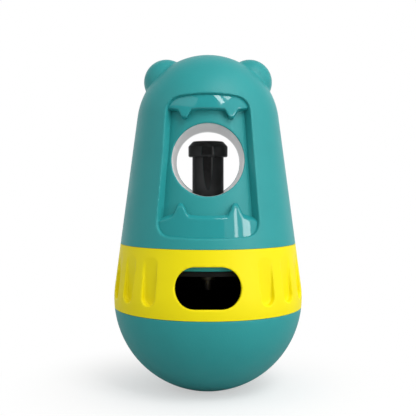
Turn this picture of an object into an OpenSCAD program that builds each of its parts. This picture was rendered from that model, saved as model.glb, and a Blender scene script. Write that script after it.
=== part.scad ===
// Treat holder chew toy: a self-righting base, a turning outlet ring and a twist-off
// dome whose round window holds a chew under a sprung post.
// Millimetres, +Z up, the window and the outlet face -Y, origin at the middle of the foot.

/* [Body] */
// Radius of the round base
base_r = 46.7; // [45:0.1:49]
// Radius of the round top of the dome
dome_r = 35.25; // [34.25:0.05:36.5]
// Height of the dome's centre over the base's centre
centre_gap = 84.4; // [83:0.1:87]
// Radius of the flat foot
foot_r = 10; // [7:0.5:12]
// Wall of the dome shell
shell_wall = 2.6; // [2.2:0.1:2.8]
// Wall of the base bowl
bowl_wall = 2.8; // [2.4:0.1:3.2]

/* [Ears] */
// Radius of each ear ball
ear_r = 11.25; // [10:0.25:12.5]
// Distance of an ear's centre from the dome's centre
ear_reach = 30.1; // [29:0.1:31]
// Lean of the ears over the horizontal
ear_angle = 47; // [44:1:52]

/* [Outlet ring] */
// Ring's lower edge below the base's widest line
ring_drop = 4.4; // [3.9:0.1:4.8]
// Height of the ring
ring_h = 31; // [30.4:0.1:31.8]
// Wall of the ring at its upper edge
ring_wall = 3.2; // [2.8:0.1:3.6]
// Bevel on the ring's outer edges
ring_bevel = 0.5; // [0.2:0.1:1]
// Width of the treat slot
slot_w = 29.8; // [24:0.1:31]
// Height of the treat slot
slot_h = 18.4; // [15:0.1:18.8]
// Depth of the slot's round ends
slot_end = 9; // [8:0.1:10]
// Middle of the treat slot over the ring's lower edge
slot_rise = 14.4; // [14:0.1:15]
// Number of places round the ring, three of them taken by the slot
flute_places = 20; // [18:2:20]
// Width of a finger flute
flute_w = 7.6; // [6:0.1:8.4]
// Depth of a flute's flat floor under the base's radius
flute_depth = 2.7; // [2.2:0.1:3]
// Lower end of a flute over the ring's lower edge
flute_rise = 5.2; // [4:0.1:8]

/* [Window] */
// Window's axis below the dome's centre
window_drop = 17; // [16.5:0.1:17.5]
// Radius of the window
window_r = 17.15; // [16.5:0.05:17.4]
// Depth of the window panel's face under the body's surface
panel_deep = 4.8; // [4.4:0.1:5.2]
// Depth of the recess's drawing plane under the body's surface, at the window's height
plane_deep = 13.5; // [13:0.1:14]
// Half width of the recess on that plane at its upper end
panel_half_top = 14.9; // [14.4:0.1:15.4]
// Half width of the recess on that plane at its lower end
panel_half_low = 18.5; // [18:0.1:19]
// Reach of the recess over the window's axis
panel_up = 25.8; // [25.2:0.1:26.4]
// Reach of the recess under the window's axis
panel_down = 34; // [33:0.1:34.2]
// Corner radius of the recess
panel_corner_r = 5.5; // [5:0.1:7]
// Growth of the recess's width for each mm outward
side_draft = 0.042; // [0.038:0.001:0.045]
// Growth of the recess's height for each mm outward
end_draft = 0.009; // [0.007:0.001:0.01]
// Wall round the recess
recess_wall = 1.8; // [1.5:0.1:2]
// Thickness of the window panel
panel_wall = 2; // [1.6:0.1:2.4]
// Wall of the window liner
liner_wall = 1.6; // [1.2:0.1:1.8]

/* [Visors] */
// Visor's face below the body's surface
visor_inset = 1.4; // [1:0.1:2]
// Lower edge of the upper visor over the window's axis
upper_edge = 22.9; // [22.4:0.1:23.6]
// Upper edge of the lower visor under the window's axis
lower_edge = 26.4; // [26:0.1:27.4]
// Drop of the upper visor's tabs
upper_tab = 3.7; // [2.6:0.1:4]
// Half spacing of the upper visor's tabs
upper_tab_x = 10.6; // [9.6:0.1:11]
// Half width of an upper tab at its foot
upper_tab_half = 3.6; // [3:0.1:4.4]
// Half width of an upper tab's flat end
upper_tab_flat = 0.7; // [0.2:0.1:1.4]
// Rise of the lower visor's tabs
lower_tab = 5.2; // [4:0.1:6.4]
// Half width of a lower tab at its foot
lower_tab_half = 3.9; // [3:0.1:4.4]
// Fall of the lower visor's edge towards its ends
lower_fall = 2.2; // [1:0.1:3]
// Half spacing of the lower visor's tabs
lower_tab_x = 12.5; // [11:0.1:13]

/* [Clamp post] */
// Radius of the post's cap
cap_r = 9.8; // [9:0.1:10.2]
// Height of the post's cap
cap_h = 7.9; // [7:0.1:8.4]
// Bevel on the cap's top, across
cap_bevel_r = 2.25; // [1:0.05:2.6]
// Bevel on the cap's top, down
cap_bevel_h = 2.5; // [1:0.1:3]
// Rounding of the cap's corners
cap_soft_r = 0.9; // [0.4:0.1:1.1]
// Gap from the cap at rest to the top of the window
chew_gap = 7.4; // [7:0.1:9]
// Radius of the post's tube
post_r = 7.85; // [7.4:0.05:8.2]
// Wall of the post's tube
post_wall = 1.55; // [1.2:0.05:1.7]
// Stroke of the post
stroke = 14; // [11:0.5:14]
// Length of the plug under the cap
plug_len = 6.8; // [5:0.1:7.5]
// Radius of the push rod
rod_r = 2.1; // [1.9:0.05:2.3]
// Radius of the stop collar
collar_r = 3.75; // [3.4:0.05:4.2]
// Height of the stop collar
collar_h = 2; // [1.6:0.1:2.4]
// Length of the rod's end under the collar
tip_len = 5; // [4:0.1:5.2]
// Radius of the rod's pointed end
tip_r = 1.5; // [1.1:0.05:1.8]
// Middle radius of the spring's coil
coil_r = 4.6; // [4.4:0.05:4.9]
// Thickness of the spring's wire
wire_d = 1.2; // [0.9:0.1:1.4]
// Number of turns of the spring
turns = 9; // [7:1:10]

/* [Treat cup] */
// Wall of the cup
cup_wall = 2; // [1.7:0.1:2.2]
// Dish's lowest point below the ring's lower edge
dish_drop = 8.9; // [8.6:0.1:10]
// Rise of the dish from its middle to the cup's wall
dish_rise = 12.5; // [11.5:0.1:12.8]
// Height of the cup's neck over its shoulder
neck_h = 7.3; // [7:0.1:7.4]
// Width of the cup's outlet
outlet_w = 36; // [34:0.5:40]
// Number of bayonet lugs
lugs = 3; // [2:1:4]
// Width of a lug, in degrees
lug_deg = 14; // [10:1:16]
// Turn that frees the dome, in degrees
twist = 30; // [20:1:40]
// Reach of a lug
lug_reach = 1.6; // [1.2:0.1:1.7]
// Height of a lug
lug_h = 2.2; // [1.8:0.1:2.4]
// Wall of the dome's skirt
skirt_wall = 3.1; // [2.8:0.1:3.4]
// Length of the dome's skirt under its rim
skirt_h = 10.2; // [10:0.1:10.6]

/* [Bulkhead] */
// Thickness of the bulkhead and of the ledge over it
plate_h = 2.6; // [2.2:0.1:2.7]
// Width of the ledge inside the skirt
ledge_w = 3.9; // [3.4:0.1:4.4]
// Wall of the post's guide
guide_wall = 2; // [1.6:0.1:2.4]
// Radius of the rod's lower guide
boss_r = 4.5; // [4.3:0.1:5]
// Length of the rod's lower guide
boss_len = 14.2; // [13.6:0.1:14.6]

/* [Weight and screws] */
// Top of the counterweight over the foot
weight_z = 23; // [21:0.1:24]
// Flat floor inside the bowl over the foot
bowl_floor_z = 3.4; // [3:0.1:4]
// Distance of the dish's screws from the axis
dish_screw_x = 22; // [20:0.1:23]
// Distance of the bulkhead's screws inside the ledge's edge
plate_screw_in = 1.7; // [1.6:0.1:2.1]
// Radius of a screw's thread
screw_r = 1.5; // [1.3:0.05:1.6]
// Radius of a screw's head
head_r = 2.7; // [2.5:0.05:2.9]
// Height of a screw's head
head_h = 1.9; // [1.6:0.1:2.1]
// Length of a screw under its head
screw_len = 10; // [8:0.5:10.5]

/* [Clearances] */
// Gap between parts that turn or slide on each other
run_gap = 0.3; // [0.2:0.05:0.35]
// Gap round parts that sit in each other
seat_gap = 0.1; // [0.05:0.01:0.15]

/* [Hidden] */
$fn = 96;
eps = 0.01;
far = 200;
// Round body: two spheres and the cone that touches both
lean = asin((base_r - dome_r) / centre_gap);
base_z = sqrt(base_r * base_r - foot_r * foot_r);
dome_z = base_z + centre_gap;
window_z = dome_z - window_drop;
// Stack of the ring, the dome's rim and the cup
ring_z = base_z - ring_drop;
ring_top_z = ring_z + ring_h;
ring_bore_r = cone_r(ring_top_z) - ring_wall;
flute_floor_r = base_r - flute_depth;
rim_z = ring_top_z + run_gap;
ledge_z = rim_z + plate_h;
plate_z = rim_z - plate_h;
skirt_z = rim_z - skirt_h;
bowl_z = ring_z - run_gap;
skirt_r = ring_bore_r - run_gap;
neck_r = skirt_r - skirt_wall - run_gap;
neck_in_r = neck_r - cup_wall;
shoulder_z = skirt_z - run_gap;
neck_z = shoulder_z + neck_h;
cup_in_r = skirt_r - cup_wall;
ledge_r = skirt_r - skirt_wall - ledge_w;
plate_screw_x = ledge_r - plate_screw_in;
plate_screw_turns = [20, 160, 200, 340];
plate_boss_r = 3.4;
plate_boss_h = 9;
flange_r = ring_bore_r + 3;
flange_in_r = cup_in_r - 2;
flange_h = 2.5;
dish_z = ring_z - dish_drop;
dish_r = (cup_in_r * cup_in_r + dish_rise * dish_rise) / (2 * dish_rise);
lug_z = shoulder_z + neck_h * 0.45;
outlet_z = ring_z + slot_rise - slot_h / 2 - 1.5;
outlet_h = shoulder_z - cup_wall - outlet_z;
standoff_r = 5.5;
bowl_boss_r = 3.5;
seat_z = weight_z + 4;
// Window and post
plane_y = cone_r(window_z) - plane_deep;
cone_top_z = dome_z + dome_r;
recess_out = 16;
cap_top_z = window_z + window_r - chew_gap;
cap_z = cap_top_z - cap_h;
post_len = cap_z - (rim_z + stroke + 0.9);
plug_z = cap_z - plug_len;
stop_z = plate_z - boss_len - seat_gap;
rod_top_z = cap_z + 3;
guide_r = post_r + run_gap + guide_wall;
guide_top_z = window_z - window_r - liner_wall - run_gap;
spring_h = plug_z - rim_z - 2 * seat_gap;
coil_gap = (spring_h - wire_d) / turns - wire_d;
flute_step = 360 / flute_places;
echo(coil_gap = coil_gap, spring_closed = (spring_h - stroke - wire_d) / turns - wire_d);

teal = [0.24, 0.62, 0.62];
gloss_teal = [0.16, 0.52, 0.54];
yellow = [0.94, 0.85, 0.1];
black = [0.08, 0.08, 0.09];
white = [0.88, 0.88, 0.88];
steel = [0.6, 0.61, 0.63];
iron = [0.32, 0.32, 0.33];

// Radius of the body's surface at height z on the cone
function cone_r(z) = (base_r - (z - base_z) * sin(lean)) / cos(lean);

// Half outline of the body, drawn in by inset all round
module body_half(inset = 0) {
    low_r = base_r - inset;
    top_r = dome_r - inset;
    low_z = base_z + low_r * sin(lean);
    top_z = dome_z + top_r * sin(lean);
    intersection() {
        translate([0, base_z])
            circle(low_r);
        translate([0, base_z - base_r])
            square([far, low_z - base_z + base_r]);
    }
    polygon([[0, low_z - 2], [low_r / 2, low_z - 2], [low_r * cos(lean), low_z],
             [top_r * cos(lean), top_z], [top_r / 2, top_z + 2], [0, top_z + 2]]);
    intersection() {
        translate([0, dome_z])
            circle(top_r);
        translate([0, top_z])
            square([far, far]);
    }
}

// The part of the body's outline from z0 to z1
module body_band(z0, z1, inset = 0) {
    intersection() {
        body_half(inset);
        translate([0, z0])
            square([far, z1 - z0]);
    }
}

module body_solid(z0, inset = 0) {
    rotate_extrude()
        body_band(z0, far, inset);
}

// The body's cone from the dome's rim to its top, drawn in by inset
module cone_solid(inset) {
    translate([0, 0, rim_z])
        cylinder(h = cone_top_z - rim_z, r1 = cone_r(rim_z) - inset / cos(lean),
                 r2 = cone_r(cone_top_z) - inset / cos(lean));
}

// A long hole with round ends
module stadium(w, h) {
    square([w - h, h], center = true);
    for (side = [0, 1])
        mirror([side, 0])
            translate([(w - h) / 2, 0])
                intersection() {
                    circle(h / 2);
                    translate([0, -h / 2])
                        square([h, h]);
                }
}

// Treat slot: straight edges and flattened round ends
module slot_shape() {
    half = slot_w / 2 - slot_end;
    polygon([for (side = [1, -1]) for (turn = [-90 : 7.5 : 90])
        [side * (half + slot_end * cos(turn)), side * slot_h / 2 * sin(turn)]]);
}

// A U standing on the origin, open upward
module u_shape(w, h) {
    translate([-w / 2, w / 2])
        square([w, h - w / 2]);
    translate([0, w / 2])
        intersection() {
            circle(w / 2);
            translate([-w, -w])
                square([2 * w, w]);
        }
}

// A flat shape drawn in x and z, run along y from y0 to y1
module along_y(y0, y1) {
    translate([0, y1, 0])
        rotate([90, 0, 0])
            linear_extrude(y1 - y0)
                children();
}

// Copies at equal steps round the axis
module round_axis(count, start = 0) {
    for (i = [0 : count - 1])
        rotate(start + i * 360 / count)
            children();
}

// Outline of the recess on its drawing plane, grown all round
module panel_outline(grow) {
    r = panel_corner_r + grow;
    top_x = panel_half_top + grow - r;
    low_x = panel_half_low + grow - r;
    hull()
        for (side = [-1, 1]) {
            translate([side * top_x, panel_up + grow - r])
                circle(r, $fn = 32);
            translate([side * low_x, r - panel_down - grow])
                circle(r, $fn = 32);
        }
}

// Drafted block of the recess, from w0 to w1 outward of its drawing plane
module panel_block(w0, w1, grow = 0) {
    x0 = 1 + side_draft * w0;
    y0 = 1 + end_draft * w0;
    x1 = 1 + side_draft * w1;
    y1 = 1 + end_draft * w1;
    translate([0, -plane_y, window_z])
        rotate([90 - lean, 0, 0])
            translate([0, 0, w0])
                linear_extrude(w1 - w0, scale = [x1 / x0, y1 / y0], slices = 1)
                    scale([x0, y0])
                        panel_outline(grow);
}

module window_bore(r) {
    translate([0, 0, window_z])
        rotate([90, 0, 0])
            cylinder(h = far, r = r, center = true);
}

module ears(r) {
    for (side = [-1, 1])
        translate([side * ear_reach * cos(ear_angle), 0, dome_z + ear_reach * sin(ear_angle)])
            sphere(r);
}

// Screw standing head up on the origin, thread downward
module screw() {
    difference() {
        union() {
            cylinder(h = head_h, r1 = head_r, r2 = head_r * 0.8);
            translate([0, 0, -screw_len + screw_r])
                cylinder(h = screw_len - screw_r + eps, r = screw_r);
            translate([0, 0, -screw_len])
                cylinder(h = screw_r, r1 = screw_r * 0.4, r2 = screw_r);
        }
        for (turn = [0, 90])
            rotate(turn)
                translate([-head_r * 0.5, -0.4, head_h - 1])
                    cube([head_r, 0.8, 2]);
    }
}

// Hole that holds a screw's thread
module screw_hole(depth) {
    translate([0, 0, -depth])
        cylinder(h = depth + eps, r = screw_r + seat_gap / 2);
}

// Round base shell with the bosses for the dish's screws
module base_bowl() {
    boss_h = weight_z - bowl_floor_z;
    color(teal)
    difference() {
        union() {
            rotate_extrude()
                difference() {
                    body_band(0, bowl_z);
                    intersection() {
                        body_band(bowl_floor_z, bowl_z - flange_h, bowl_wall);
                        square([ring_bore_r + 0.7, far]);
                    }
                    translate([0, bowl_z - flange_h - eps])
                        square([flange_r + seat_gap, far]);
                }
            intersection() {
                round_axis(3, 90)
                    translate([dish_screw_x, 0, bowl_floor_z])
                        cylinder(h = boss_h, r = bowl_boss_r);
                body_solid(0, bowl_wall / 2);
            }
        }
        round_axis(3, 90)
            translate([dish_screw_x, 0, weight_z])
                screw_hole(screw_len - 2);
    }
}

// Cast weight low in the bowl, which stands the toy up again
module counterweight() {
    color(iron)
    difference() {
        rotate_extrude()
            body_band(bowl_floor_z, weight_z, bowl_wall + run_gap);
        round_axis(3, 90)
            translate([dish_screw_x, 0, 0])
                cylinder(h = far, r = bowl_boss_r + run_gap);
    }
}

// Half outline of the sleeve: flange, wall, shoulder and neck
module sleeve_half() {
    translate([cup_in_r, bowl_z - flange_h])
        square([cup_wall, shoulder_z - bowl_z + flange_h]);
    translate([flange_in_r, bowl_z - flange_h])
        square([flange_r - flange_in_r, flange_h]);
    translate([neck_in_r, shoulder_z - cup_wall])
        square([skirt_r - neck_in_r, cup_wall]);
    translate([neck_in_r, shoulder_z - cup_wall])
        square([cup_wall, neck_h + cup_wall]);
}

// Black sleeve that carries the ring and the dome, with the outlet in its wall
module cup_sleeve() {
    color(black)
    difference() {
        union() {
            rotate_extrude()
                sleeve_half();
            rotate(-lug_deg / 2)
                round_axis(lugs)
                    rotate_extrude(angle = lug_deg)
                        translate([neck_r - 1, lug_z])
                            square([lug_reach + 1, lug_h]);
        }
        along_y(-far, -cup_in_r / 2)
            translate([0, outlet_z + outlet_h / 2])
                stadium(outlet_w, outlet_h);
    }
}

// Half outline of the dish, with a rim that sits on the sleeve's flange
module dish_half() {
    rim_r = cup_in_r - seat_gap;
    intersection() {
        difference() {
            union() {
                translate([0, dish_z + dish_r])
                    circle(dish_r + cup_wall);
                translate([flange_in_r, bowl_z])
                    square([rim_r - flange_in_r, dish_rise]);
            }
            translate([0, dish_z + dish_r])
                circle(dish_r);
        }
        square([rim_r, dish_z + dish_rise]);
    }
}

// Floor of the treat chamber, on standoffs over the weight
module treat_dish() {
    color(black)
    difference() {
        union() {
            rotate_extrude()
                dish_half();
            round_axis(3, 90)
                translate([dish_screw_x, 0, weight_z])
                    cylinder(h = dish_z - weight_z + 3, r = standoff_r);
        }
        round_axis(3, 90)
            translate([dish_screw_x, 0, seat_z]) {
                cylinder(h = far, r = head_r + run_gap);
                translate([0, 0, -far / 2])
                    cylinder(h = far, r = screw_r + seat_gap);
            }
    }
}

module dish_screws() {
    color(steel)
    round_axis(3, 90)
        translate([dish_screw_x, 0, seat_z])
            screw();
}

// Outer outline of the ring: round at its foot, then the body's cone
module ring_half() {
    foot_turn = asin((ring_z - base_z) / base_r);
    steps = 8;
    low_r = base_r * cos(foot_turn);
    top_r = cone_r(ring_top_z);
    bow = [for (i = [1 : steps])
        let (turn = foot_turn + (lean - foot_turn) * i / steps)
        [base_r * cos(turn), base_z + base_r * sin(turn)]];
    polygon(concat([[ring_bore_r, ring_z], [low_r - ring_bevel, ring_z]], bow,
                   [[cone_r(ring_top_z - ring_bevel), ring_top_z - ring_bevel],
                    [top_r - ring_bevel, ring_top_z], [ring_bore_r, ring_top_z]]));
}

// Fluted shutter ring with the treat slot
module outlet_ring() {
    color(yellow)
    difference() {
        rotate_extrude()
            ring_half();
        along_y(-far, -ring_bore_r / 2)
            translate([0, ring_z + slot_rise])
                slot_shape();
        for (place = [2 : flute_places - 2])
            rotate(place * flute_step)
                along_y(-far, -flute_floor_r)
                    translate([0, ring_z + flute_rise])
                        u_shape(flute_w, ring_h);
    }
}

// L-shaped path of a lug inside the skirt
module lug_path() {
    slack = 1;
    half_r = skirt_r - skirt_wall - 1;
    reach = neck_r + lug_reach + run_gap - half_r;
    rotate(-lug_deg / 2 - twist - slack)
        rotate_extrude(angle = lug_deg + twist + 2 * slack)
            translate([half_r, lug_z - run_gap])
                square([reach, lug_h + 2 * run_gap]);
    rotate(-lug_deg / 2 - twist - slack)
        rotate_extrude(angle = lug_deg + 2 * slack)
            translate([half_r, skirt_z - 1])
                square([reach, lug_z + lug_h - skirt_z + 1]);
}

// Dome with ears, a walled recess on each face, and the bayonet skirt
module dome_shell() {
    color(teal)
    difference() {
        union() {
            difference() {
                union() {
                    body_solid(rim_z);
                    ears(ear_r);
                }
                body_solid(ledge_z, shell_wall);
                ears(ear_r - shell_wall);
                translate([0, 0, rim_z - 1])
                    cylinder(h = plate_h + 2, r = ledge_r);
            }
            for (face = [0, 180])
                rotate(face)
                    difference() {
                        intersection() {
                            panel_block(0, recess_out, recess_wall);
                            body_solid(rim_z, shell_wall / 2);
                        }
                        cone_solid(panel_deep - seat_gap);
                    }
            rotate_extrude()
                translate([skirt_r - skirt_wall, skirt_z])
                    square([skirt_wall, skirt_h + eps]);
            for (angle = plate_screw_turns)
                rotate(angle)
                    translate([plate_screw_x, 0, rim_z])
                        cylinder(h = plate_boss_h, r = plate_boss_r);
        }
        for (face = [0, 180])
            rotate(face)
                panel_block(-1, recess_out);
        round_axis(lugs)
            lug_path();
        for (angle = plate_screw_turns)
            rotate(angle)
                translate([plate_screw_x, 0, rim_z + screw_len - plate_h + 0.5])
                    screw_hole(screw_len);
    }
}

// Curved panel behind the recess's walls, with the window in it
module window_panel() {
    difference() {
        intersection() {
            panel_block(-2, recess_out, recess_wall - seat_gap);
            cone_solid(panel_deep);
        }
        cone_solid(panel_deep + panel_wall);
        window_bore(window_r);
    }
}

module front_panel() {
    color(teal)
    window_panel();
}

module rear_panel() {
    color(teal)
    rotate(180)
        window_panel();
}

// Height of a soft tab at x, from 0 at its foot to 1 over its flat end
function tab_rise(x, half, flat) =
    let (t = min(1, max(0, (half - abs(x)) / (half - flat))))
    t * t * (3 - 2 * t);

// Edge of a visor: two soft tabs at half spacing mid, each of height tall
function tab_edge(mid, half, flat, tall) =
    [for (side = [-1, 1]) for (i = [-10 : 10])
        [side * mid + half * i / 10, tall * tab_rise(half * i / 10, half, flat)]];

// Face of the upper visor: a straight edge with two round tabs
module upper_face() {
    edge = tab_edge(upper_tab_x, upper_tab_half, upper_tab_flat, upper_tab);
    polygon(concat([[far, far], [-far, far], [-far, upper_edge]],
                   [for (p = edge) [p[0], upper_edge - p[1]]], [[far, upper_edge]]));
}

// Face of the lower visor: a straight edge with two pointed tabs, falling at its ends
module lower_face() {
    edge = tab_edge(lower_tab_x, lower_tab_half, 0, lower_tab);
    end_x = panel_half_low * 1.2;
    polygon(concat([[-end_x, -far], [end_x, -far], [end_x, -lower_edge - lower_fall]],
                   [for (i = [len(edge) - 1 : -1 : 0]) [edge[i][0], edge[i][1] - lower_edge]],
                   [[-end_x, -lower_edge - lower_fall]]));
}

// Body that a visor's face follows: the dome's ball, or the cone under it
module visor_body(ball) {
    if (ball)
        translate([0, 0, dome_z])
            sphere(dome_r - visor_inset);
    else
        cone_solid(visor_inset);
}

// Visor on one end of the panel, filling the recess there
module visor(ball) {
    difference() {
        intersection() {
            panel_block(0, recess_out, -seat_gap);
            visor_body(ball);
            along_y(-far, 0)
                translate([0, window_z])
                    children();
        }
        cone_solid(panel_deep - seat_gap);
    }
}

module upper_visor_front() {
    color(gloss_teal)
    visor(ball = true)
        upper_face();
}

module lower_visor_front() {
    color(gloss_teal)
    visor(ball = false)
        lower_face();
}

module upper_visor_rear() {
    rotate(180)
        upper_visor_front();
}

module lower_visor_rear() {
    rotate(180)
        lower_visor_front();
}

// Sleeve between the two panels, with the post's hole in its floor
module window_liner() {
    color(white)
    difference() {
        intersection() {
            window_bore(window_r + liner_wall);
            cone_solid(panel_deep + panel_wall + seat_gap);
        }
        window_bore(window_r);
        translate([0, 0, window_z - far])
            cylinder(h = far, r = post_r + run_gap);
    }
}

// Plate that closes the dome, with the guides of the post and the rod
module bulkhead() {
    color(black)
    difference() {
        union() {
            translate([0, 0, plate_z])
                cylinder(h = plate_h, r = skirt_r - skirt_wall - run_gap);
            translate([0, 0, plate_z])
                cylinder(h = guide_top_z - plate_z, r = guide_r);
            translate([0, 0, plate_z - boss_len])
                cylinder(h = boss_len + eps, r = boss_r);
        }
        translate([0, 0, rim_z])
            cylinder(h = far, r = post_r + run_gap);
        cylinder(h = far, r = rod_r + run_gap);
        for (angle = plate_screw_turns)
            rotate(angle)
                translate([plate_screw_x, 0, 0])
                    cylinder(h = far, r = screw_r + seat_gap);
    }
}

module bulkhead_screws() {
    color(steel)
    for (angle = plate_screw_turns)
        rotate(angle)
            translate([plate_screw_x, 0, plate_z])
                rotate([180, 0, 0])
                    screw();
}

// Points of a rounded corner with its middle at c
function arc(c, r, from, to) =
    [for (i = [0 : 4]) let (turn = from + (to - from) * i / 4) c + r * [cos(turn), sin(turn)]];

// Cap that presses on the chew, plugged into the tube
module post_cap() {
    plug_r = post_r - post_wall - seat_gap / 2;
    tilt = atan(cap_bevel_r / cap_bevel_h);
    side_drop = cap_soft_r * tan(tilt / 2);
    top_in = cap_soft_r * tan((90 - tilt) / 2);
    color(black)
    difference() {
        rotate_extrude()
            polygon(concat([[0, plug_z], [plug_r, plug_z], [plug_r, cap_z]],
                           arc([cap_r - cap_soft_r, cap_z + cap_soft_r], cap_soft_r, -90, 0),
                           arc([cap_r - cap_soft_r, cap_top_z - cap_bevel_h - side_drop],
                               cap_soft_r, 0, tilt),
                           arc([cap_r - cap_bevel_r - top_in, cap_top_z - cap_soft_r],
                               cap_soft_r, tilt, 90),
                           [[0, cap_top_z]]));
        cylinder(h = rod_top_z, r = rod_r + seat_gap / 2);
    }
}

module post_tube() {
    color(black)
    translate([0, 0, cap_z - post_len])
        difference() {
            cylinder(h = post_len, r = post_r);
            translate([0, 0, -1])
                cylinder(h = post_len + 2, r = post_r - post_wall);
        }
}

// Rod from the cap to the stop, with a pointed end
module push_rod() {
    tip_z = stop_z - collar_h - tip_len;
    color(steel)
    union() {
        translate([0, 0, tip_z + tip_len - 1])
            cylinder(h = rod_top_z - tip_z - tip_len + 1, r = rod_r);
        translate([0, 0, tip_z])
            cylinder(h = tip_len - 1, r1 = tip_r, r2 = rod_r);
    }
}

module stop_collar() {
    color(steel)
    translate([0, 0, stop_z - collar_h])
        difference() {
            cylinder(h = collar_h, r = collar_r);
            translate([0, 0, -1])
                cylinder(h = collar_h + 2, r = rod_r + seat_gap / 2);
        }
}

// Open coil between the bulkhead and the cap's plug
module return_spring() {
    sides = 6;
    rings = turns * 10;
    rise = spring_h - wire_d;
    pts = [for (i = [0 : rings]) for (j = [0 : sides - 1])
        let (turn = 360 * turns * i / rings, face = 360 * j / sides,
             r = coil_r + wire_d / 2 * cos(face))
        [r * cos(turn), r * sin(turn), rise * i / rings + wire_d / 2 * (1 + sin(face))]];
    wall = [for (i = [0 : rings - 1]) for (j = [0 : sides - 1])
        let (k = (j + 1) % sides)
        [i * sides + j, i * sides + k, (i + 1) * sides + k, (i + 1) * sides + j]];
    first = [[for (j = [0 : sides - 1]) sides - 1 - j]];
    last = [[for (j = [0 : sides - 1]) rings * sides + j]];
    color(steel)
    translate([0, 0, rim_z + seat_gap])
        polyhedron(points = pts, faces = concat(wall, first, last));
}

base_bowl();
counterweight();
cup_sleeve();
treat_dish();
dish_screws();
outlet_ring();
dome_shell();
front_panel();
rear_panel();
upper_visor_front();
lower_visor_front();
upper_visor_rear();
lower_visor_rear();
window_liner();
bulkhead();
bulkhead_screws();
post_cap();
post_tube();
push_rod();
stop_collar();
return_spring();
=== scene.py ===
# %% [markdown]
# # A treat holder chew toy
# The toy is a roly-poly: a weighted round bowl, a yellow ring that turns as a shutter over the
# treat outlet, and a twist-off dome with a window, in which a sprung black post clamps a chew.
# The frame brings the construction at its real size. This lesson gives every moulding its soft
# edges and every surface its finish. Lengths are written in mm, and Blender gets them in metres.

# %% Load the frame
import math

import bpy
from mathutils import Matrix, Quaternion, Vector


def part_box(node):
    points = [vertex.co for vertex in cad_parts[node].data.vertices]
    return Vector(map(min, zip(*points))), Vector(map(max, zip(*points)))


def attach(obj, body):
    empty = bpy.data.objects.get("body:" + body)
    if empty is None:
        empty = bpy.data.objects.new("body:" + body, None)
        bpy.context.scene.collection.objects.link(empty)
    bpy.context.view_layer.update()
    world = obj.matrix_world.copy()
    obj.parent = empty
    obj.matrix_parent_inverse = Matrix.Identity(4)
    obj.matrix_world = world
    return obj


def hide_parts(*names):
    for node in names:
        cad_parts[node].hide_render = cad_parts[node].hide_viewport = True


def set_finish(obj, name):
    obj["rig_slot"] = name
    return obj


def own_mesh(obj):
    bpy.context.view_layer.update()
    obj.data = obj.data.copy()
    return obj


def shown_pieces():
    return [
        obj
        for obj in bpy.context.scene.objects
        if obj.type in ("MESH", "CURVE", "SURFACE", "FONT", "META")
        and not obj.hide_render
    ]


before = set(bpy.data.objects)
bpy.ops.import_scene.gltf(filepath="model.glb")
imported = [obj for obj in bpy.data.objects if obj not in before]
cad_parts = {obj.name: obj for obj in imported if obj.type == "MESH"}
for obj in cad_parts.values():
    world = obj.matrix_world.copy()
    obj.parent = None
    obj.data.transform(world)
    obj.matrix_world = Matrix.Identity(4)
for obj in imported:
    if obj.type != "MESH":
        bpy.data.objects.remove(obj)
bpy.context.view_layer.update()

mm = 0.001


def span(node):
    """Lowest and highest corner of a node of the frame, in mm."""
    low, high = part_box(node)
    return low / mm, high / mm


def in_mm(lengths):
    """Lengths in metres as rounded mm, to print."""
    return [round(v / mm, 1) for v in lengths]


ring_low, ring_high = span("outlet_ring")
dome_low, dome_high = span("dome_shell")

# %% [markdown]
# ## The outline of the body
# The body is one clean shape: a ball below, a smaller ball on top, and the cone that touches
# both. Bowl, ring and dome could each be drawn by eye, but then their seams would show steps.
# They share this outline instead, so it is written once as a few functions. The ring is as wide
# as the lower ball, and the dome's top gives the height of the upper one.

# %% Outline of the body
base_r = ring_high.x
dome_r = 35.25
foot_r = 10
base_z = math.sqrt(base_r**2 - foot_r**2)
dome_z = dome_high.z - dome_r
lean = math.asin((base_r - dome_r) / (dome_z - base_z))
run_gap = 0.3  # between pieces that move
seat_gap = 0.1  # between pieces that are fitted together
rim_z = ring_high.z + run_gap


def arc(x, z, radius, start, end, steps=24):
    """Points of an arc round (x, z), from one angle to another in degrees."""
    turns = [math.radians(start + (end - start) * i / steps) for i in range(steps + 1)]
    return [(x + radius * math.cos(t), z + radius * math.sin(t)) for t in turns]


def cone_r(z, inset=0):
    """Radius of the body's cone at height z, drawn in by inset."""
    return (base_r - inset - (z - base_z) * math.sin(lean)) / math.cos(lean)


def dome_line(z, inset=0, steps=48):
    """Half outline of the body from height z on the cone up to the top."""
    ball = arc(0, dome_z, dome_r - inset, math.degrees(lean), 90, steps)
    return [(cone_r(z, inset), z), *ball]


print(f"balls of {base_r:.1f} and {dome_r} mm, cone leaning {math.degrees(lean):.2f} degrees")

# %% [markdown]
# ## Tools of the bench
# Almost every piece here is turned, cut or moulded, so a few small helpers do the handwork.
# `trace` draws a line by pulling one vertex from point to point, and `turn` spins such a line
# round the axis, as on a lathe. `put` places a piece, `apply` adds a modifier and applies it at
# once, `carve` is a Boolean, and `finish_off` cleans a finished piece and hands it to the frame.
# The lines could be typed in as mesh data, but operators build them as a hand would.

# %% Draw a line and spin it
weld = 0.002  # points closer than this are merged


def trace(name, points):
    """A chain of edges through points in mm, left open in edit mode."""
    bpy.ops.object.select_all(action="DESELECT")
    bpy.ops.mesh.primitive_plane_add(size=mm)
    piece = bpy.context.object
    piece.name = name
    piece.data.name = name
    spots = [Vector(p) * mm for p in points]
    bpy.ops.object.mode_set(mode="EDIT")
    bpy.ops.mesh.select_mode(type="VERT")
    bpy.ops.mesh.merge(type="CENTER")
    bpy.ops.transform.translate(value=spots[0])
    for here, there in zip(spots, spots[1:]):
        bpy.ops.mesh.extrude_region_move(TRANSFORM_OT_translate={"value": there - here})
    bpy.ops.mesh.select_all(action="SELECT")
    return piece


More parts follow.
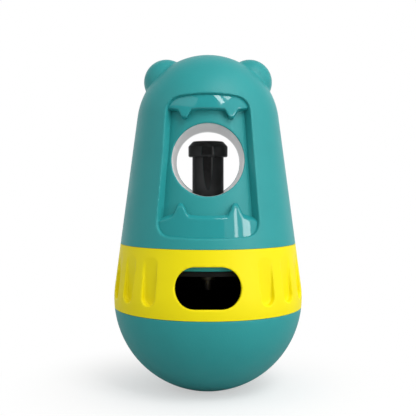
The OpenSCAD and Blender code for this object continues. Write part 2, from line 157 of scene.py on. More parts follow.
def close_up(piece):
    """Merges doubles, turns the faces outward and leaves edit mode."""
    bpy.ops.mesh.select_all(action="SELECT")
    bpy.ops.mesh.remove_doubles(threshold=weld * mm)
    bpy.ops.mesh.fill_holes(sides=0)
    bpy.ops.mesh.normals_make_consistent(inside=False)
    bpy.ops.object.mode_set(mode="OBJECT")
    return piece


def turn(name, line, steps=192, angle=360):
    """A half outline of (radius, height) points, spun round the axis."""
    piece = trace(name, [(r, 0, z) for r, z in line])
    bpy.ops.mesh.spin(steps=steps, angle=math.radians(angle), center=(0, 0, 0), axis=(0, 0, 1))
    return close_up(piece)


# %% Place, shape and carve
def pick(*pieces):
    """Selects only these pieces and makes the last one active."""
    bpy.ops.object.select_all(action="DESELECT")
    for piece in pieces:
        piece.select_set(True)
    bpy.context.view_layer.objects.active = pieces[-1]


def put(piece, turn_x=0, turn_y=0, turn_z=0, place=(0, 0, 0)):
    """Turns and moves a piece and applies it, so that its place is in its mesh."""
    pick(piece)
    piece.rotation_euler = [math.radians(a) for a in (turn_x, turn_y, turn_z)]
    piece.location = Vector(place) * mm
    bpy.ops.object.transform_apply(location=True, rotation=True, scale=True)
    return piece


def apply(piece, kind, **settings):
    """Adds a modifier with its settings and applies it."""
    bpy.context.view_layer.objects.active = piece
    bpy.ops.object.modifier_add(type=kind)
    step = piece.modifiers[-1]
    for key, value in settings.items():
        setattr(step, key, value)
    bpy.ops.object.modifier_apply(modifier=step.name)
    return piece


def carve(piece, tool, operation="DIFFERENCE"):
    """Cuts, joins or trims a piece with a tool, and throws the tool away."""
    apply(piece, "BOOLEAN", operation=operation, solver="MANIFOLD", object=tool)
    bpy.data.objects.remove(tool)
    return piece


# %% Finish a piece
sliver = 0.003  # thinner triangles, which Booleans leave at a seam, are cleared
crease = 40  # degrees, past which an edge is shaded as a sharp one


def finish_off(piece, body, slot, node):
    """Clears slivers, shades the piece, puts it on its body in place of a node, prints its size."""
    pick(piece)
    bpy.ops.object.mode_set(mode="EDIT")
    bpy.ops.mesh.select_all(action="SELECT")
    bpy.ops.mesh.dissolve_degenerate(threshold=sliver * mm)
    close_up(piece)
    bpy.ops.object.shade_smooth_by_angle(angle=math.radians(crease))
    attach(piece, body)
    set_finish(piece, slot)
    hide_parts(node)
    triangles = sum(len(p.vertices) - 2 for p in piece.data.polygons)
    print(f"{piece.name}: {triangles} triangles, {in_mm(piece.dimensions)} mm")


# %% [markdown]
# ## The base bowl
# The bowl is a thick round shell with a small flat foot, a step inside its rim for the sleeve,
# and three posts for screws. A sphere primitive could be cut down to it, but one turned section
# gives the outside, the wall and the rim with its rounded lip in a single spin.

# %% Base bowl
bowl_wall = 2.8
bowl_floor_z = 3.4
bowl_z = span("base_bowl")[1].z
lip_r = 0.4
seat_r = 43.4
seat_h = 2.5
step_r = 41


def ball_turn(radius, z):
    """Angle on the lower ball, of that radius, at height z."""
    return math.degrees(math.asin((z - base_z) / radius))


inner_r = base_r - bowl_wall
rim_turn = ball_turn(base_r, bowl_z - lip_r)
step_turn = -math.degrees(math.acos(step_r / inner_r))
rim_r = base_r * math.cos(math.radians(rim_turn))
bowl = turn("base_bowl_moulded", [
    (0, 0),
    *arc(0, base_z, base_r, ball_turn(base_r, 0), rim_turn, 64),
    *arc(rim_r - lip_r, bowl_z - lip_r, lip_r, 0, 90, 6),
    (seat_r, bowl_z),
    (seat_r, bowl_z - seat_h),
    (step_r, bowl_z - seat_h),
    *arc(0, base_z, inner_r, step_turn, ball_turn(inner_r, bowl_floor_z), 40),
    (0, bowl_floor_z)], steps=256)
print("bowl turned:", len(bowl.data.polygons), "faces")

# %% Screw posts in the bowl
posts = 3
bowl_boss_x, bowl_boss_r, bowl_boss_z, boss_edge = 22, 3.5, 2, 0.3
pilot_r, pilot_deep, drill_tip = 1.55, 8, 1
boss_top_z = span("counterweight")[1].z
for third in range(posts):
    boss = turn("boss", [
        (0, bowl_boss_z),
        (bowl_boss_r, bowl_boss_z),
        (bowl_boss_r, boss_top_z - boss_edge),
        (bowl_boss_r - boss_edge, boss_top_z),
        (pilot_r, boss_top_z),
        (pilot_r, boss_top_z - pilot_deep),
        (0, boss_top_z - pilot_deep - drill_tip)], 32)
    put(boss, place=(bowl_boss_x, 0, 0))
    inside = turn("inside", arc(0, base_z, base_r - bowl_wall / 2, -90, 90, 32), 96)
    carve(boss, inside, "INTERSECT")
    carve(bowl, put(boss, turn_z=90 + 360 / posts * third), "UNION")
finish_off(bowl, "base", "teal", "base_bowl")

# %% [markdown]
# ## The window recess
# Front and back of the dome have the same recess, a rounded field that is wider below, with
# sloping walls and a floor that follows the body a few millimetres under its surface. The recess,
# the panel on its floor and the visors in it all come from one outline, drawn on a flat plane
# inside the body and pulled outward with draft, which is much easier than drawing it on the cone.

# %% Outline of the recess
window_drop = 17
window_z = dome_z - window_drop
window_r = 17.15
panel_deep = 4.8
plane_deep = 13.5
plane_y = cone_r(window_z) - plane_deep
panel_half_top = 14.9
panel_half_low = 18.5
panel_up = 25.8
panel_down = 34
corner_r = 5.5


def panel_line(grow, steps=10):
    """Outline of the recess, grown all round: four arcs and the straight runs between them."""
    r = corner_r + grow
    top_x, top_y = panel_half_top + grow - r, panel_up + grow - r
    low_x, low_y = panel_half_low + grow - r, r - panel_down - grow
    tilt = math.degrees(math.atan2(low_x - top_x, top_y - low_y))
    return [*arc(top_x, top_y, r, tilt, 90, steps),
            *arc(-top_x, top_y, r, 90, 180 - tilt, steps),
            *arc(-low_x, low_y, r, 180 - tilt, 270, steps),
            *arc(low_x, low_y, r, 270, 360 + tilt, steps)]


print(f"recess: {2 * panel_half_top} and {2 * panel_half_low} by {panel_up + panel_down} mm")

# %% Block of the recess
side_draft = 0.042  # growth of the outline for each mm outward
end_draft = 0.009
recess_wall = 1.8
panel_wall = 2
recess_out = 16
panel_lean = 90 - math.degrees(lean)


def plate(name, outline, run, taper=None, middle=(0, 0, 0)):
    """A closed outline of points in mm, filled, pulled along run and tapered at that end."""
    piece = trace(name, [*outline, outline[0]])
    bpy.ops.mesh.remove_doubles(threshold=weld * mm)
    bpy.ops.mesh.edge_face_add()
    bpy.ops.mesh.extrude_region_move(TRANSFORM_OT_translate={"value": [v * mm for v in run]})
    if taper:
        bpy.ops.transform.resize(value=taper, center_override=[v * mm for v in middle])
    return close_up(piece)


def block(name, w0, w1, grow):
    """Drafted block of the recess, from w0 to w1 outward of its drawing plane."""
    x0, y0 = 1 + side_draft * w0, 1 + end_draft * w0
    x1, y1 = 1 + side_draft * w1, 1 + end_draft * w1
    line = [(x * x0, y * y0, w0) for x, y in panel_line(grow)]
    piece = plate(name, line, (0, 0, w1 - w0), (x1 / x0, y1 / y0, 1), (0, 0, w1))
    return put(piece, turn_x=panel_lean, place=(0, -plane_y, window_z))


def core(name, inset):
    """The body's cone from the dome's rim to its top, drawn in by inset."""
    top_z = dome_high.z
    return turn(name, [(0, rim_z), (cone_r(rim_z, inset), rim_z), (cone_r(top_z, inset), top_z),
                       (0, top_z)], 384)


wall_lean = math.degrees(math.atan(side_draft * panel_half_low))
print(f"recess: floor {panel_deep} mm under the surface, walls leaning {wall_lean:.0f} degrees")

# %% [markdown]
# ## The dome
# The dome is one moulding with two ears, a recess on each face and a bayonet skirt. Its charm is
# in its soft edges: every mouth is rounded and each ear flows into the ball with a small fillet.
# Bevels break on such crossings, so the solid form is cut sharp first, then voxel remeshed and
# smoothed, which rounds all edges alike, and hollowed last, so that the rim stays crisp.


# %% Solid form of the dome
def soften(piece, voxel, rounds, most):
    """Remeshes a piece, rounds its edges by smoothing and thins it to most triangles."""
    apply(piece, "REMESH", mode="VOXEL", voxel_size=voxel * mm)
    apply(piece, "SMOOTH", factor=0.5, iterations=rounds)
    count = 2 * len(piece.data.polygons)
    if count > most:
        apply(piece, "DECIMATE", ratio=most / count)
    return piece


shell_wall = 2.6
spare = 5  # length that is added to a form and trimmed off again
pocket_from = -4
front_and_back = (0, 180)
dome = turn("dome_shell_moulded", [(0, rim_z - spare), *dome_line(rim_z - spare)])
for face in front_and_back:
    pocket = block("pocket", pocket_from, recess_out, 0)
    carve(dome, put(pocket, turn_z=face))
print("dome with both recesses:", len(dome.data.polygons), "faces")

# %% Ears with a fillet at the root
ear_r = 11.25
ear_reach = 30.1
ear_lean = 43  # degrees from upright
ear_fillet = 0.8
ear_root = 12
far_dome = dome_r + ear_fillet
far_ear = ear_r + ear_fillet
root = math.acos((far_dome**2 + ear_reach**2 - far_ear**2) / (2 * far_dome * ear_reach))
hub_x, hub_z = far_dome * math.sin(root), far_dome * math.cos(root)
to_dome = math.degrees(math.atan2(-hub_z, -hub_x))
to_ear = math.degrees(math.atan2(ear_reach - hub_z, -hub_x))
on_ear = math.degrees(math.atan2(hub_z - ear_reach, hub_x))
ear_line = [(0, dome_r - ear_root), *arc(hub_x, hub_z, ear_fillet, to_dome, to_ear, 10),
            *arc(0, ear_reach, ear_r, on_ear, 90, 24)]
ears = []
for side in (-1, 1):
    ear = turn("ear", ear_line, 96)
    ears.append(put(ear, turn_y=side * ear_lean, place=(0, 0, dome_z)))
pick(*ears, dome)
bpy.ops.object.join()
soften(dome, voxel=0.42, rounds=4, most=170000)
print("dome softened:", len(dome.data.polygons), "faces")

# %% Hollow of the dome
ledge_r = 33
ledge_h = 2.6
ledge_z = rim_z + ledge_h
wide = 60  # reach of a cutting tool, wider than the toy
below_z = rim_z - 2 * spare
hollow = turn("hollow", [
    (0, below_z), (wide, below_z), (wide, rim_z), (ledge_r, rim_z), (ledge_r, ledge_z),
    *dome_line(ledge_z, shell_wall, 32)], 128)
for side in (-1, 1):
    ball = turn("ear_hollow", arc(0, ear_reach, ear_r - shell_wall, -90, 90, 20), 48)
    carve(hollow, put(ball, turn_y=side * ear_lean, place=(0, 0, dome_z)), "UNION")
print("hollow with both ears:", len(hollow.data.polygons), "faces")

# %% Recess walls and screw posts in the dome
screw_x = 31.3
screw_turns = (20, 160, 200, 340)
dome_boss_r, dome_boss_h = 3.4, 9
for face in front_and_back:
    walls = block("recess_wall", 0, recess_out, recess_wall)
    carve(walls, core("inside", panel_deep - seat_gap))
    carve(hollow, put(walls, turn_z=face))
for angle in screw_turns:
    boss = turn("boss", [
        (dome_boss_r, rim_z), (dome_boss_r, rim_z + dome_boss_h), (pilot_r, rim_z + dome_boss_h),
        (pilot_r, rim_z), (dome_boss_r, rim_z)], 32)
    put(boss, place=(screw_x, 0, 0))
    carve(hollow, put(boss, turn_z=angle))
carve(dome, hollow)
print("dome hollowed:", len(dome.data.polygons), "faces")

# %% [markdown]
# ## The bayonet skirt
# Under the rim a short skirt slips over the neck of the sleeve. Three L-shaped paths in it take
# the lugs: push on, turn thirty degrees, locked. A straight box would cut a path of uneven depth,
# so each path is a rectangle spun through part of a turn, which follows the wall.

# %% Skirt
skirt_r = 40
skirt_wall = 3.1
skirt_edge = 0.3
skirt_sink = 0.6  # how far the skirt reaches into the rim above it
skirt_z = dome_low.z
skirt_in = skirt_r - skirt_wall
skirt = turn("skirt", [
    (skirt_in, skirt_z), (skirt_r - skirt_edge, skirt_z), (skirt_r, skirt_z + skirt_edge),
    (skirt_r, rim_z + skirt_sink), (skirt_in, rim_z + skirt_sink), (skirt_in, skirt_z)])
print("skirt turned:", len(skirt.data.polygons), "faces")

# %% Lug paths in the skirt
lugs = 3
lug_deg = 14
lug_h = 2.2
lug_reach = 1.6
lug_up = 0.45  # share of the neck's height below a lug
neck_h = 7.3
twist = 30  # degrees
slack = 1  # degrees at each end of a path
cut_spare = 1
lug_z = skirt_z - run_gap + neck_h * lug_up
path_in = skirt_in - cut_spare
path_out = skirt_in + lug_reach


def sector(name, z0, z1, begin, sweep):
    """The section of a lug's path from z0 to z1, spun through part of a turn."""
    piece = turn(name, [(path_in, z0), (path_out, z0), (path_out, z1), (path_in, z1),
                        (path_in, z0)], 24, sweep)
    return put(piece, turn_z=begin)


for lug in range(lugs):
    begin = 360 * lug / lugs - lug_deg / 2 - twist - slack
    carve(skirt, sector("run", lug_z - run_gap, lug_z + lug_h + run_gap, begin,
                        lug_deg + twist + 2 * slack))
    carve(skirt, sector("entry", skirt_z - cut_spare, lug_z + lug_h, begin, lug_deg + 2 * slack))
carve(dome, skirt, "UNION")
finish_off(dome, "dome", "teal", "dome_shell")

# %% [markdown]
# ## The window panels
# A curved panel closes the floor of each recess, with the round window in it. On the toy the lip of
# the window is rounded over. A bevel would stumble over the curved edge, so the panel is cut from
# two cones and softened like the dome. The rear panel is a copy of the front one, turned round.

# %% Front panel
panel_from = -2
hole_in = 0.3  # the moulded lip is this much inside the window's radius
hole_drop = 0.3
hole_r = window_r - hole_in
hole_z = window_z - hole_drop
panel = core("front_panel_moulded", panel_deep)
carve(panel, core("inside", panel_deep + panel_wall))
carve(panel, block("field", panel_from, recess_out, recess_wall - seat_gap), "INTERSECT")
bore = turn("bore", [(0, -wide), (hole_r, -wide), (hole_r, 0), (0, 0)], 128)
carve(panel, put(bore, turn_x=-90, place=(0, 0, hole_z)))
soften(panel, voxel=0.28, rounds=22, most=60000)
window_lip = min(math.hypot(v.co.x, v.co.z - hole_z * mm) for v in panel.data.vertices) / mm
print(f"window: {2 * window_lip:.1f} mm across at its lip")
finish_off(panel, "dome", "teal", "front_panel")


# %% Rear panel
def copy_of(piece, name, turn_z):
    """A copy with its own mesh, turned round the axis."""
    twin = piece.copy()
    twin.data = piece.data.copy()
    twin.name = name
    twin.data.name = name
    bpy.context.collection.objects.link(twin)
    return put(twin, turn_z=turn_z)


rear_panel = copy_of(panel, "rear_panel_moulded", 180)
finish_off(rear_panel, "dome", "teal", "rear_panel")

# %% [markdown]
# ## The window liner
# A white sleeve lines the window from face to face, and its rims are rounded. A tube that is bent
# to the cone would need many cuts. A plain turned tube is laid along the window's axis instead,
# trimmed at both ends by the cone behind the panels and cut open below for the post.

# %% Window liner
liner_back = 0.05  # how far the liner stands back behind the panel's lip
liner_sink = 0.25
liner_r = window_lip + liner_back
liner_z = window_z - (hole_drop + liner_sink)
liner_out = 18.75
post_hole = 8.15
liner = turn("window_liner_moulded", [
    (liner_r, -wide), (liner_out, -wide), (liner_out, wide), (liner_r, wide),
    (liner_r, -wide)], 192)
put(liner, turn_x=-90, place=(0, 0, liner_z))
carve(liner, core("inside", panel_deep + panel_wall + seat_gap), "INTERSECT")
hole = turn("hole", [(0, rim_z), (post_hole, rim_z), (post_hole, window_z), (0, window_z)], 96)
carve(liner, hole)
soften(liner, voxel=0.3, rounds=8, most=120000)
finish_off(liner, "dome", "white", "window_liner")

# %% [markdown]
# ## The glossy visors
# Above and below the window sit two glossy inserts, whose faces follow the body a little below
# its surface. The upper one hangs two round tabs, the lower one raises two peaks. Their lips slope
# back to the panel, so that the upper one shows a shaded underside and the lower one a lit top.
# A bevel would fold over itself at the tabs. So each visor is the recess block trimmed by the
# body, by the panel behind and by its own edge line, then remeshed finely and smoothed, and its
# edge catches the light as a moulded lip does. It starts too wide and is trimmed to the recess
# last, so that its ends meet the walls without a groove.

# %% Edge lines of the visors
upper_edge = 21.9  # height of a lip over the window's middle, where it meets the panel
lower_edge = -24.95
lower_fall = 2  # how much lower the ends of the lower lip are
lip_end = 27
beyond = 45


def tab_edge(mid, half, flat, tall, steps=14):
    """Two soft tabs at half spacing mid, as (x, rise) points from left to right."""
    points = []
    for side in (-1, 1):
        for i in range(-steps, steps + 1):
            x = half * i / steps
            t = min(1, max(0, (half - abs(x)) / (half - flat)))
            points.append((side * mid + x, tall * t * t * (3 - 2 * t)))
    return points


upper_tabs = tab_edge(mid=10.75, half=3.5, flat=0.7, tall=3.9)
lower_peaks = tab_edge(mid=12.5, half=4.2, flat=0.5, tall=5)
upper_line = [
    (-lip_end, upper_edge), *[(x, upper_edge - rise) for x, rise in upper_tabs],
    (lip_end, upper_edge), (lip_end, beyond), (-lip_end, beyond)]
lower_line = [
    (-lip_end, lower_edge - lower_fall), *[(x, rise + lower_edge) for x, rise in lower_peaks],
    (lip_end, lower_edge - lower_fall), (lip_end, -beyond), (-lip_end, -beyond)]
print("edge lines:", len(upper_line), "and", len(lower_line), "points")

# %% Visors
visor_inset = 1.4
visor_spare = 3
upper_slope, lower_slope = -0.3, 0.4  # rise of a lip for each mm inward
upper_rounds, lower_rounds = 40, 60


def lip_at(x, edge):
    """How far in front of the axis the panel is behind an edge, at distance x from the middle."""
    return math.sqrt(max(0, cone_r(window_z + edge, panel_deep)**2 - x**2))


for place, outline, edge, slope, rounds in (
        ("upper", upper_line, upper_edge, upper_slope, upper_rounds),
        ("lower", lower_line, lower_edge, lower_slope, lower_rounds)):
    visor = block(f"{place}_visor_front_moulded", 0, recess_out, visor_spare)
    carve(visor, turn("body", [(0, rim_z), *dome_line(rim_z, visor_inset, 64)], 384), "INTERSECT")
    line = [(x, -wide, window_z + z - slope * (wide - lip_at(x, edge))) for x, z in outline]
    carve(visor, plate("front", line, (0, wide, slope * wide)), "INTERSECT")
    carve(visor, core("inside", panel_deep - seat_gap))
    soften(visor, voxel=0.22, rounds=rounds, most=120000)
    carve(visor, block("field", 0, recess_out, seat_gap), "INTERSECT")
    finish_off(visor, "dome", "gloss_teal", f"{place}_visor_front")
    twin = copy_of(visor, f"{place}_visor_rear_moulded", 180)
    finish_off(twin, "dome", "gloss_teal", f"{place}_visor_rear")

# %% [markdown]
# ## The outlet ring
# The ring is a turned band with a long slot for the treats and a row of finger flutes. A flute is
# a flat U cut, and because the band narrows upward the cut runs out by itself near the top. An
# Array round an empty would repeat it too. Here one flute is drawn, and a spin with copies carries
# it round without another object. Remeshing softens every edge, and the ring is trimmed to its
# height afterwards, so that its seams stay tight.

# %% Outlet ring
ring_bore_r = skirt_r + run_gap
ring_z, ring_top_z = ring_low.z, ring_high.z
ring_from, ring_to = ring_z - spare, ring_top_z + spare
ring = turn("outlet_ring_moulded", [
    (ring_bore_r, ring_from),
    *arc(0, base_z, base_r, ball_turn(base_r, ring_from), math.degrees(lean), 24),
    (cone_r(ring_to), ring_to),
    (ring_bore_r, ring_to),
    (ring_bore_r, ring_from)], steps=256)
print("ring turned:", len(ring.data.polygons), "faces")

# %% Treat slot
slot_w, slot_h, slot_end, slot_rise = 29.8, 18.3, 9, 14.3
slot_deep = 12
slot_flare = 1.13  # growth of its height inward, downward from its top
slot_half = slot_w / 2 - slot_end
slot_z = ring_z + slot_rise
slot_line = []
for side in (1, -1):
    for x, z in arc(0, 0, 1, -90, 90, 24):
        slot_x = side * (slot_half + slot_end * x)
        slot_line.append((slot_x, -base_r, slot_z + side * slot_h / 2 * z))
carve(ring, plate("slot", slot_line, (0, slot_deep, 0), (1, 1, slot_flare),
                  (0, 0, slot_z + slot_h / 2)))
print("slot:", slot_w, "by", slot_h, "mm")

# %% Finger flutes
flute_w, flute_depth, flute_rise = 7.6, 2.7, 5.2
flute_places, slot_places = 20, 4  # the slot takes the room of some flutes
flute_half = flute_w / 2
flute_mid_z = ring_z + flute_rise + flute_half
flute_top = ring_to + spare
flute_floor = base_r - flute_depth
flute_line = [(x, -wide, z + flute_mid_z) for x, z in arc(0, 0, flute_half, 180, 360, 20)]
flute_line += [(flute_half, -wide, flute_top), (-flute_half, -wide, flute_top)]
flutes = plate("flutes", flute_line, (0, wide - flute_floor, 0))
flute_step = 360 / flute_places
flute_copies = flute_places - slot_places
put(flutes, turn_z=-slot_places / 2 * flute_step)
bpy.ops.object.mode_set(mode="EDIT")
bpy.ops.mesh.select_all(action="SELECT")
bpy.ops.mesh.spin(steps=flute_copies, angle=math.radians(flute_step * flute_copies), dupli=True,
                  center=(0, 0, 0), axis=(0, 0, 1))
bpy.ops.object.mode_set(mode="OBJECT")
carve(ring, flutes)
print("flutes:", flute_copies + 1)

# %% Soft edges and seams of the ring
soften(ring, voxel=0.38, rounds=9, most=180000)
trim_low, trim_high = ring_z - run_gap / 2, ring_top_z + run_gap / 2
trim = turn("trim", [(0, trim_low), (wide, trim_low), (wide, trim_high), (0, trim_high)], 64)
carve(ring, trim, "INTERSECT")
finish_off(ring, "ring", "yellow", "outlet_ring")

# %% [markdown]
# ## The clamp post
# The post is a glossy black tube with a bevelled cap that presses on the chew. Cylinders with
# bevelled edges would come close. But cap, tube, rod and stop collar are all lathe work, so each
# is one spun section with its edges rounded in the line.

# %% Post cap
cap_low, cap_high = span("post_cap")
tube_low, tube_high = span("post_tube")
cap_r, cap_soft = cap_high.x, 0.9
cap_z = tube_high.z
post_r, post_wall = tube_high.x, 1.55
tube_in = post_r - post_wall
bevel_r, bevel_h = 2.25, 2.5
plug_fit, plug_edge = 0.05, 0.4
plug_r = tube_in - plug_fit
rod_hole, rod_deep = 2.15, 3
tilt = math.degrees(math.atan2(bevel_r, bevel_h))
side_drop = cap_soft * math.tan(math.radians(tilt / 2))
top_in = cap_soft * math.tan(math.radians((90 - tilt) / 2))
cap = turn("post_cap_turned", [
    (0, cap_z + rod_deep), (rod_hole, cap_z + rod_deep), (rod_hole, cap_low.z),
    (plug_r - plug_edge, cap_low.z), (plug_r, cap_low.z + plug_edge), (plug_r, cap_z),
    *arc(cap_r - cap_soft, cap_z + cap_soft, cap_soft, -90, 0, 8),
    *arc(cap_r - cap_soft, cap_high.z - bevel_h - side_drop, cap_soft, 0, tilt, 8),
    *arc(cap_r - bevel_r - top_in, cap_high.z - cap_soft, cap_soft, tilt, 90, 8),
    (0, cap_high.z)], 128)
finish_off(cap, "post", "gloss_black", "post_cap")

# %% Post tube
turned_edge = 0.3
tube = turn("post_tube_turned", [
    (tube_in, tube_low.z),
    *arc(post_r - turned_edge, tube_low.z + turned_edge, turned_edge, -90, 0, 4),
    (post_r, tube_high.z), (tube_in, tube_high.z), (tube_in, tube_low.z)], 128)
finish_off(tube, "post", "gloss_black", "post_tube")

# %% Push rod and stop collar
rod_low, rod_high = span("push_rod")
collar_low, collar_high = span("stop_collar")
rod_r = rod_high.x
tip_r = 1.5
tip_end = 1  # how far under the collar the rod's tip starts to taper
rod = turn("push_rod_turned", [
    (0, rod_low.z),
    *arc(tip_r - turned_edge, rod_low.z + turned_edge, turned_edge, -90, 0, 4),
    (rod_r, collar_low.z - tip_end), (rod_r, rod_high.z - turned_edge),
    (rod_r - turned_edge, rod_high.z), (0, rod_high.z)], 48)
finish_off(rod, "post", "steel", "push_rod")
collar_r = collar_high.x
collar = turn("stop_collar_turned", [
    (rod_hole, collar_low.z),
    *arc(collar_r - turned_edge, collar_low.z + turned_edge, turned_edge, -90, 0, 4),
    *arc(collar_r - turned_edge, collar_high.z - turned_edge, turned_edge, 0, 90, 4),
    (rod_hole, collar_high.z), (rod_hole, collar_low.z)], 64)
finish_off(collar, "post", "steel", "stop_collar")

# %% [markdown]
# ## The return spring
# The spring stands inside the tube and lifts the post again. A helix curve with a round bevel
# would do. A wire circle carried up by the Screw modifier gives an exact count of turns and
# closed ends in one step. When the post goes down its coils close up.

# %% Return spring
coil_low, coil_high = span("return_spring")
coil_tall = coil_high.z - coil_low.z
wire_d = 1.2
coil_r = 4.6
coils = 9
coil_steps = 48
pitch = (coil_tall - wire_d) / coils
bpy.ops.object.select_all(action="DESELECT")
bpy.ops.mesh.primitive_circle_add(vertices=14, radius=wire_d / 2 * mm,
                                  rotation=(math.pi / 2, 0, 0))
spring = bpy.context.object
spring.name = "return_spring_wound"
spring.data.name = spring.name
spring.location = Vector((coil_r, 0, coil_low.z + wire_d / 2)) * mm
bpy.ops.object.transform_apply(location=True, rotation=True, scale=True)
apply(spring, "SCREW", axis="Z", angle=math.tau, screw_offset=pitch * mm, iterations=coils,
      steps=coil_steps, render_steps=coil_steps)
bpy.ops.object.mode_set(mode="EDIT")
close_up(spring)
finish_off(spring, "dome", "steel", "return_spring")
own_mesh(spring)
print(f"spring: {coils} turns over {coil_tall:.1f} mm")

# %% [markdown]
# ## Finishes
# Each finish starts from what the real piece is made of. Photographs of a surface could be
# wrapped on, but noise on the object's own coordinates has a true size and needs no file. One
# function turns a web colour into the linear value that the renderer wants, and one adds a node
# with its settings and links.

# %% Colour and node helpers
colour_a, colour_b, colour_out = 6, 7, 2  # colour sockets of a Mix node, whose names repeat


def linear(code):
    """A web colour such as 3a9fa0 as linear red, green, blue and alpha."""
    parts = [int(code[i:i + 2], 16) / 255 for i in (0, 2, 4)]
    return (*[p / 12.92 if p <= 0.04045 else ((p + 0.055) / 1.055) ** 2.4 for p in parts], 1)


def add(tree, kind, inputs=None, links=None, **settings):
    """Adds a node, sets its settings and inputs, and links sockets into it."""
    made = tree.nodes.new(kind)
    for key, value in settings.items():
        setattr(made, key, value)
    for key, value in (inputs or {}).items():
        made.inputs[key].default_value = value
    for key, source in (links or {}).items():
        tree.links.new(source, made.inputs[key])
    return made


def start(name):
    """A new material with an empty tree, and the object coordinates in it."""
    material = bpy.data.materials.new(name)
    material.use_nodes = True
    tree = material.node_tree
    tree.nodes.clear()
    place = add(tree, "ShaderNodeTexCoord").outputs["Object"]
    return material, tree, place


# %% [markdown]
# ### Moulded plastics
# Nylon, soft elastomer and ABS all leave the mould with a faint grain from the spark-eroded
# steel, and with slow clouds of colour and gloss where the melt cooled unevenly. The grain is
# about a tenth of a millimetre on the toy. Here it is drawn three to five times coarser, so that
# it shows. A polished mould leaves no grain, only a very flat wave of a millimetre or more.


# %% Moulded plastics
def moulded(name, colour, shade, rough, grain, depth, cloud=14, **sockets):
    """Plastic with a grain of that size and depth in mm, and clouds of colour and gloss."""
    material, tree, place = start(name)
    clouds = add(tree, "ShaderNodeTexNoise", {"Scale": 1 / (cloud * mm), "Detail": 3},
                 {"Vector": place})
    tint = add(tree, "ShaderNodeMix", links={"Factor": clouds.outputs["Fac"]}, data_type="RGBA",
               inputs={colour_a: linear(colour), colour_b: linear(shade)})
    fine = add(tree, "ShaderNodeTexNoise",
               {"Scale": 1 / (grain * mm), "Detail": 2, "Roughness": 0.6}, {"Vector": place})
    gloss = add(tree, "ShaderNodeMapRange", {"To Min": rough - 0.05, "To Max": rough + 0.05},
                {"Value": clouds.outputs["Fac"]})
    bump = add(tree, "ShaderNodeBump", {"Strength": 0.6, "Distance": depth * mm},
               {"Height": fine.outputs["Fac"]})
    shader = add(tree, "ShaderNodeBsdfPrincipled", sockets,
                 {"Base Color": tint.outputs[colour_out], "Roughness": gloss.outputs["Result"],
                  "Normal": bump.outputs["Normal"]})
    add(tree, "ShaderNodeOutputMaterial", links={"Surface": shader.outputs["BSDF"]})
    return material


# Textured nylon scatters the lamps into wide, soft highlights with a fine grain in them.
teal_nylon = moulded("teal_textured_nylon", "2a9a9b", "269293", rough=0.45, grain=0.5, depth=0.12,
                     **{"Specular IOR Level": 0.35})
# Polished ABS mirrors the softboxes with sharp edges.
teal_gloss = moulded("teal_polished_abs", "2a9799", "269194", rough=0.05, grain=1.2, depth=0.0002)
# Satin elastomer shows a full, even colour with hardly a highlight.
yellow_tpe = moulded("yellow_satin_elastomer", "f4e506", "f0df05", rough=0.5, grain=0.3,
                     depth=0.02, **{"Specular IOR Level": 0.2})
# Polished black ABS is all reflection: narrow bright streaks on black.
black_gloss = moulded("black_polished_abs", "0d0d0e", "101011", rough=0.06, grain=1.5, depth=0.001)
# Textured black nylon swallows the light, so the inside of the slot stays dark.
black_satin = moulded("black_textured_nylon", "121313", "151616", rough=0.55, grain=0.35,
                      depth=0.03, **{"Specular IOR Level": 0.15})
# Satin white ABS is pale and even, with a faint sheen on its rims.
white_satin = moulded("white_satin_abs", "f0f1f1", "eaebec", rough=0.35, grain=0.4, depth=0.004)
plastics = (teal_nylon, teal_gloss, yellow_tpe, black_gloss, black_satin, white_satin)
print("moulded plastics:", *[plastic.name for plastic in plastics])


# %% [markdown]
# ### Metals
# The rod, collar, spring and screws are steel wire and bar, dull from their zinc plating. The
# weight is grey cast iron as it left the sand. Both could be one grey metal, but the plated bar
# has fine rings from the lathe and the iron a coarse, even skin, so the grain can be stretched.


# %% Metals
def metal(name, colour, shade, rough, grain, depth, stretch=(1, 1, 1)):
    """Bare metal with a grain of that size and depth in mm, finer along an axis by stretch."""
    material, tree, place = start(name)
    mapping = add(tree, "ShaderNodeMapping", {"Scale": stretch}, {"Vector": place})
    fine = add(tree, "ShaderNodeTexNoise", {"Scale": 1 / (grain * mm), "Detail": 3},
               {"Vector": mapping.outputs["Vector"]})
    tint = add(tree, "ShaderNodeMix", links={"Factor": fine.outputs["Fac"]}, data_type="RGBA",
               inputs={colour_a: linear(colour), colour_b: linear(shade)})
    gloss = add(tree, "ShaderNodeMapRange", {"To Min": rough - 0.06, "To Max": rough + 0.06},
                {"Value": fine.outputs["Fac"]})
    bump = add(tree, "ShaderNodeBump", {"Strength": 0.5, "Distance": depth * mm},
               {"Height": fine.outputs["Fac"]})
    shader = add(tree, "ShaderNodeBsdfPrincipled", {"Metallic": 1},
                 {"Base Color": tint.outputs[colour_out], "Roughness": gloss.outputs["Result"],
                  "Normal": bump.outputs["Normal"]})
    add(tree, "ShaderNodeOutputMaterial", links={"Surface": shader.outputs["BSDF"]})
    return material


# Dull zinc plate gives a soft, pale grey glint without a sharp image in it.
zinc_steel = metal("dull_zinc_plated_steel", "b4b0aa", "a09c96", rough=0.55, grain=0.4,
                   depth=0.004, stretch=(0.2, 0.2, 3))
# Cast iron is dark and rough from the sand.
cast_iron = metal("grey_cast_iron", "5a5a5c", "4a4a4b", rough=0.6, grain=0.8, depth=0.08)
print("metals:", zinc_steel.name, "and", cast_iron.name)

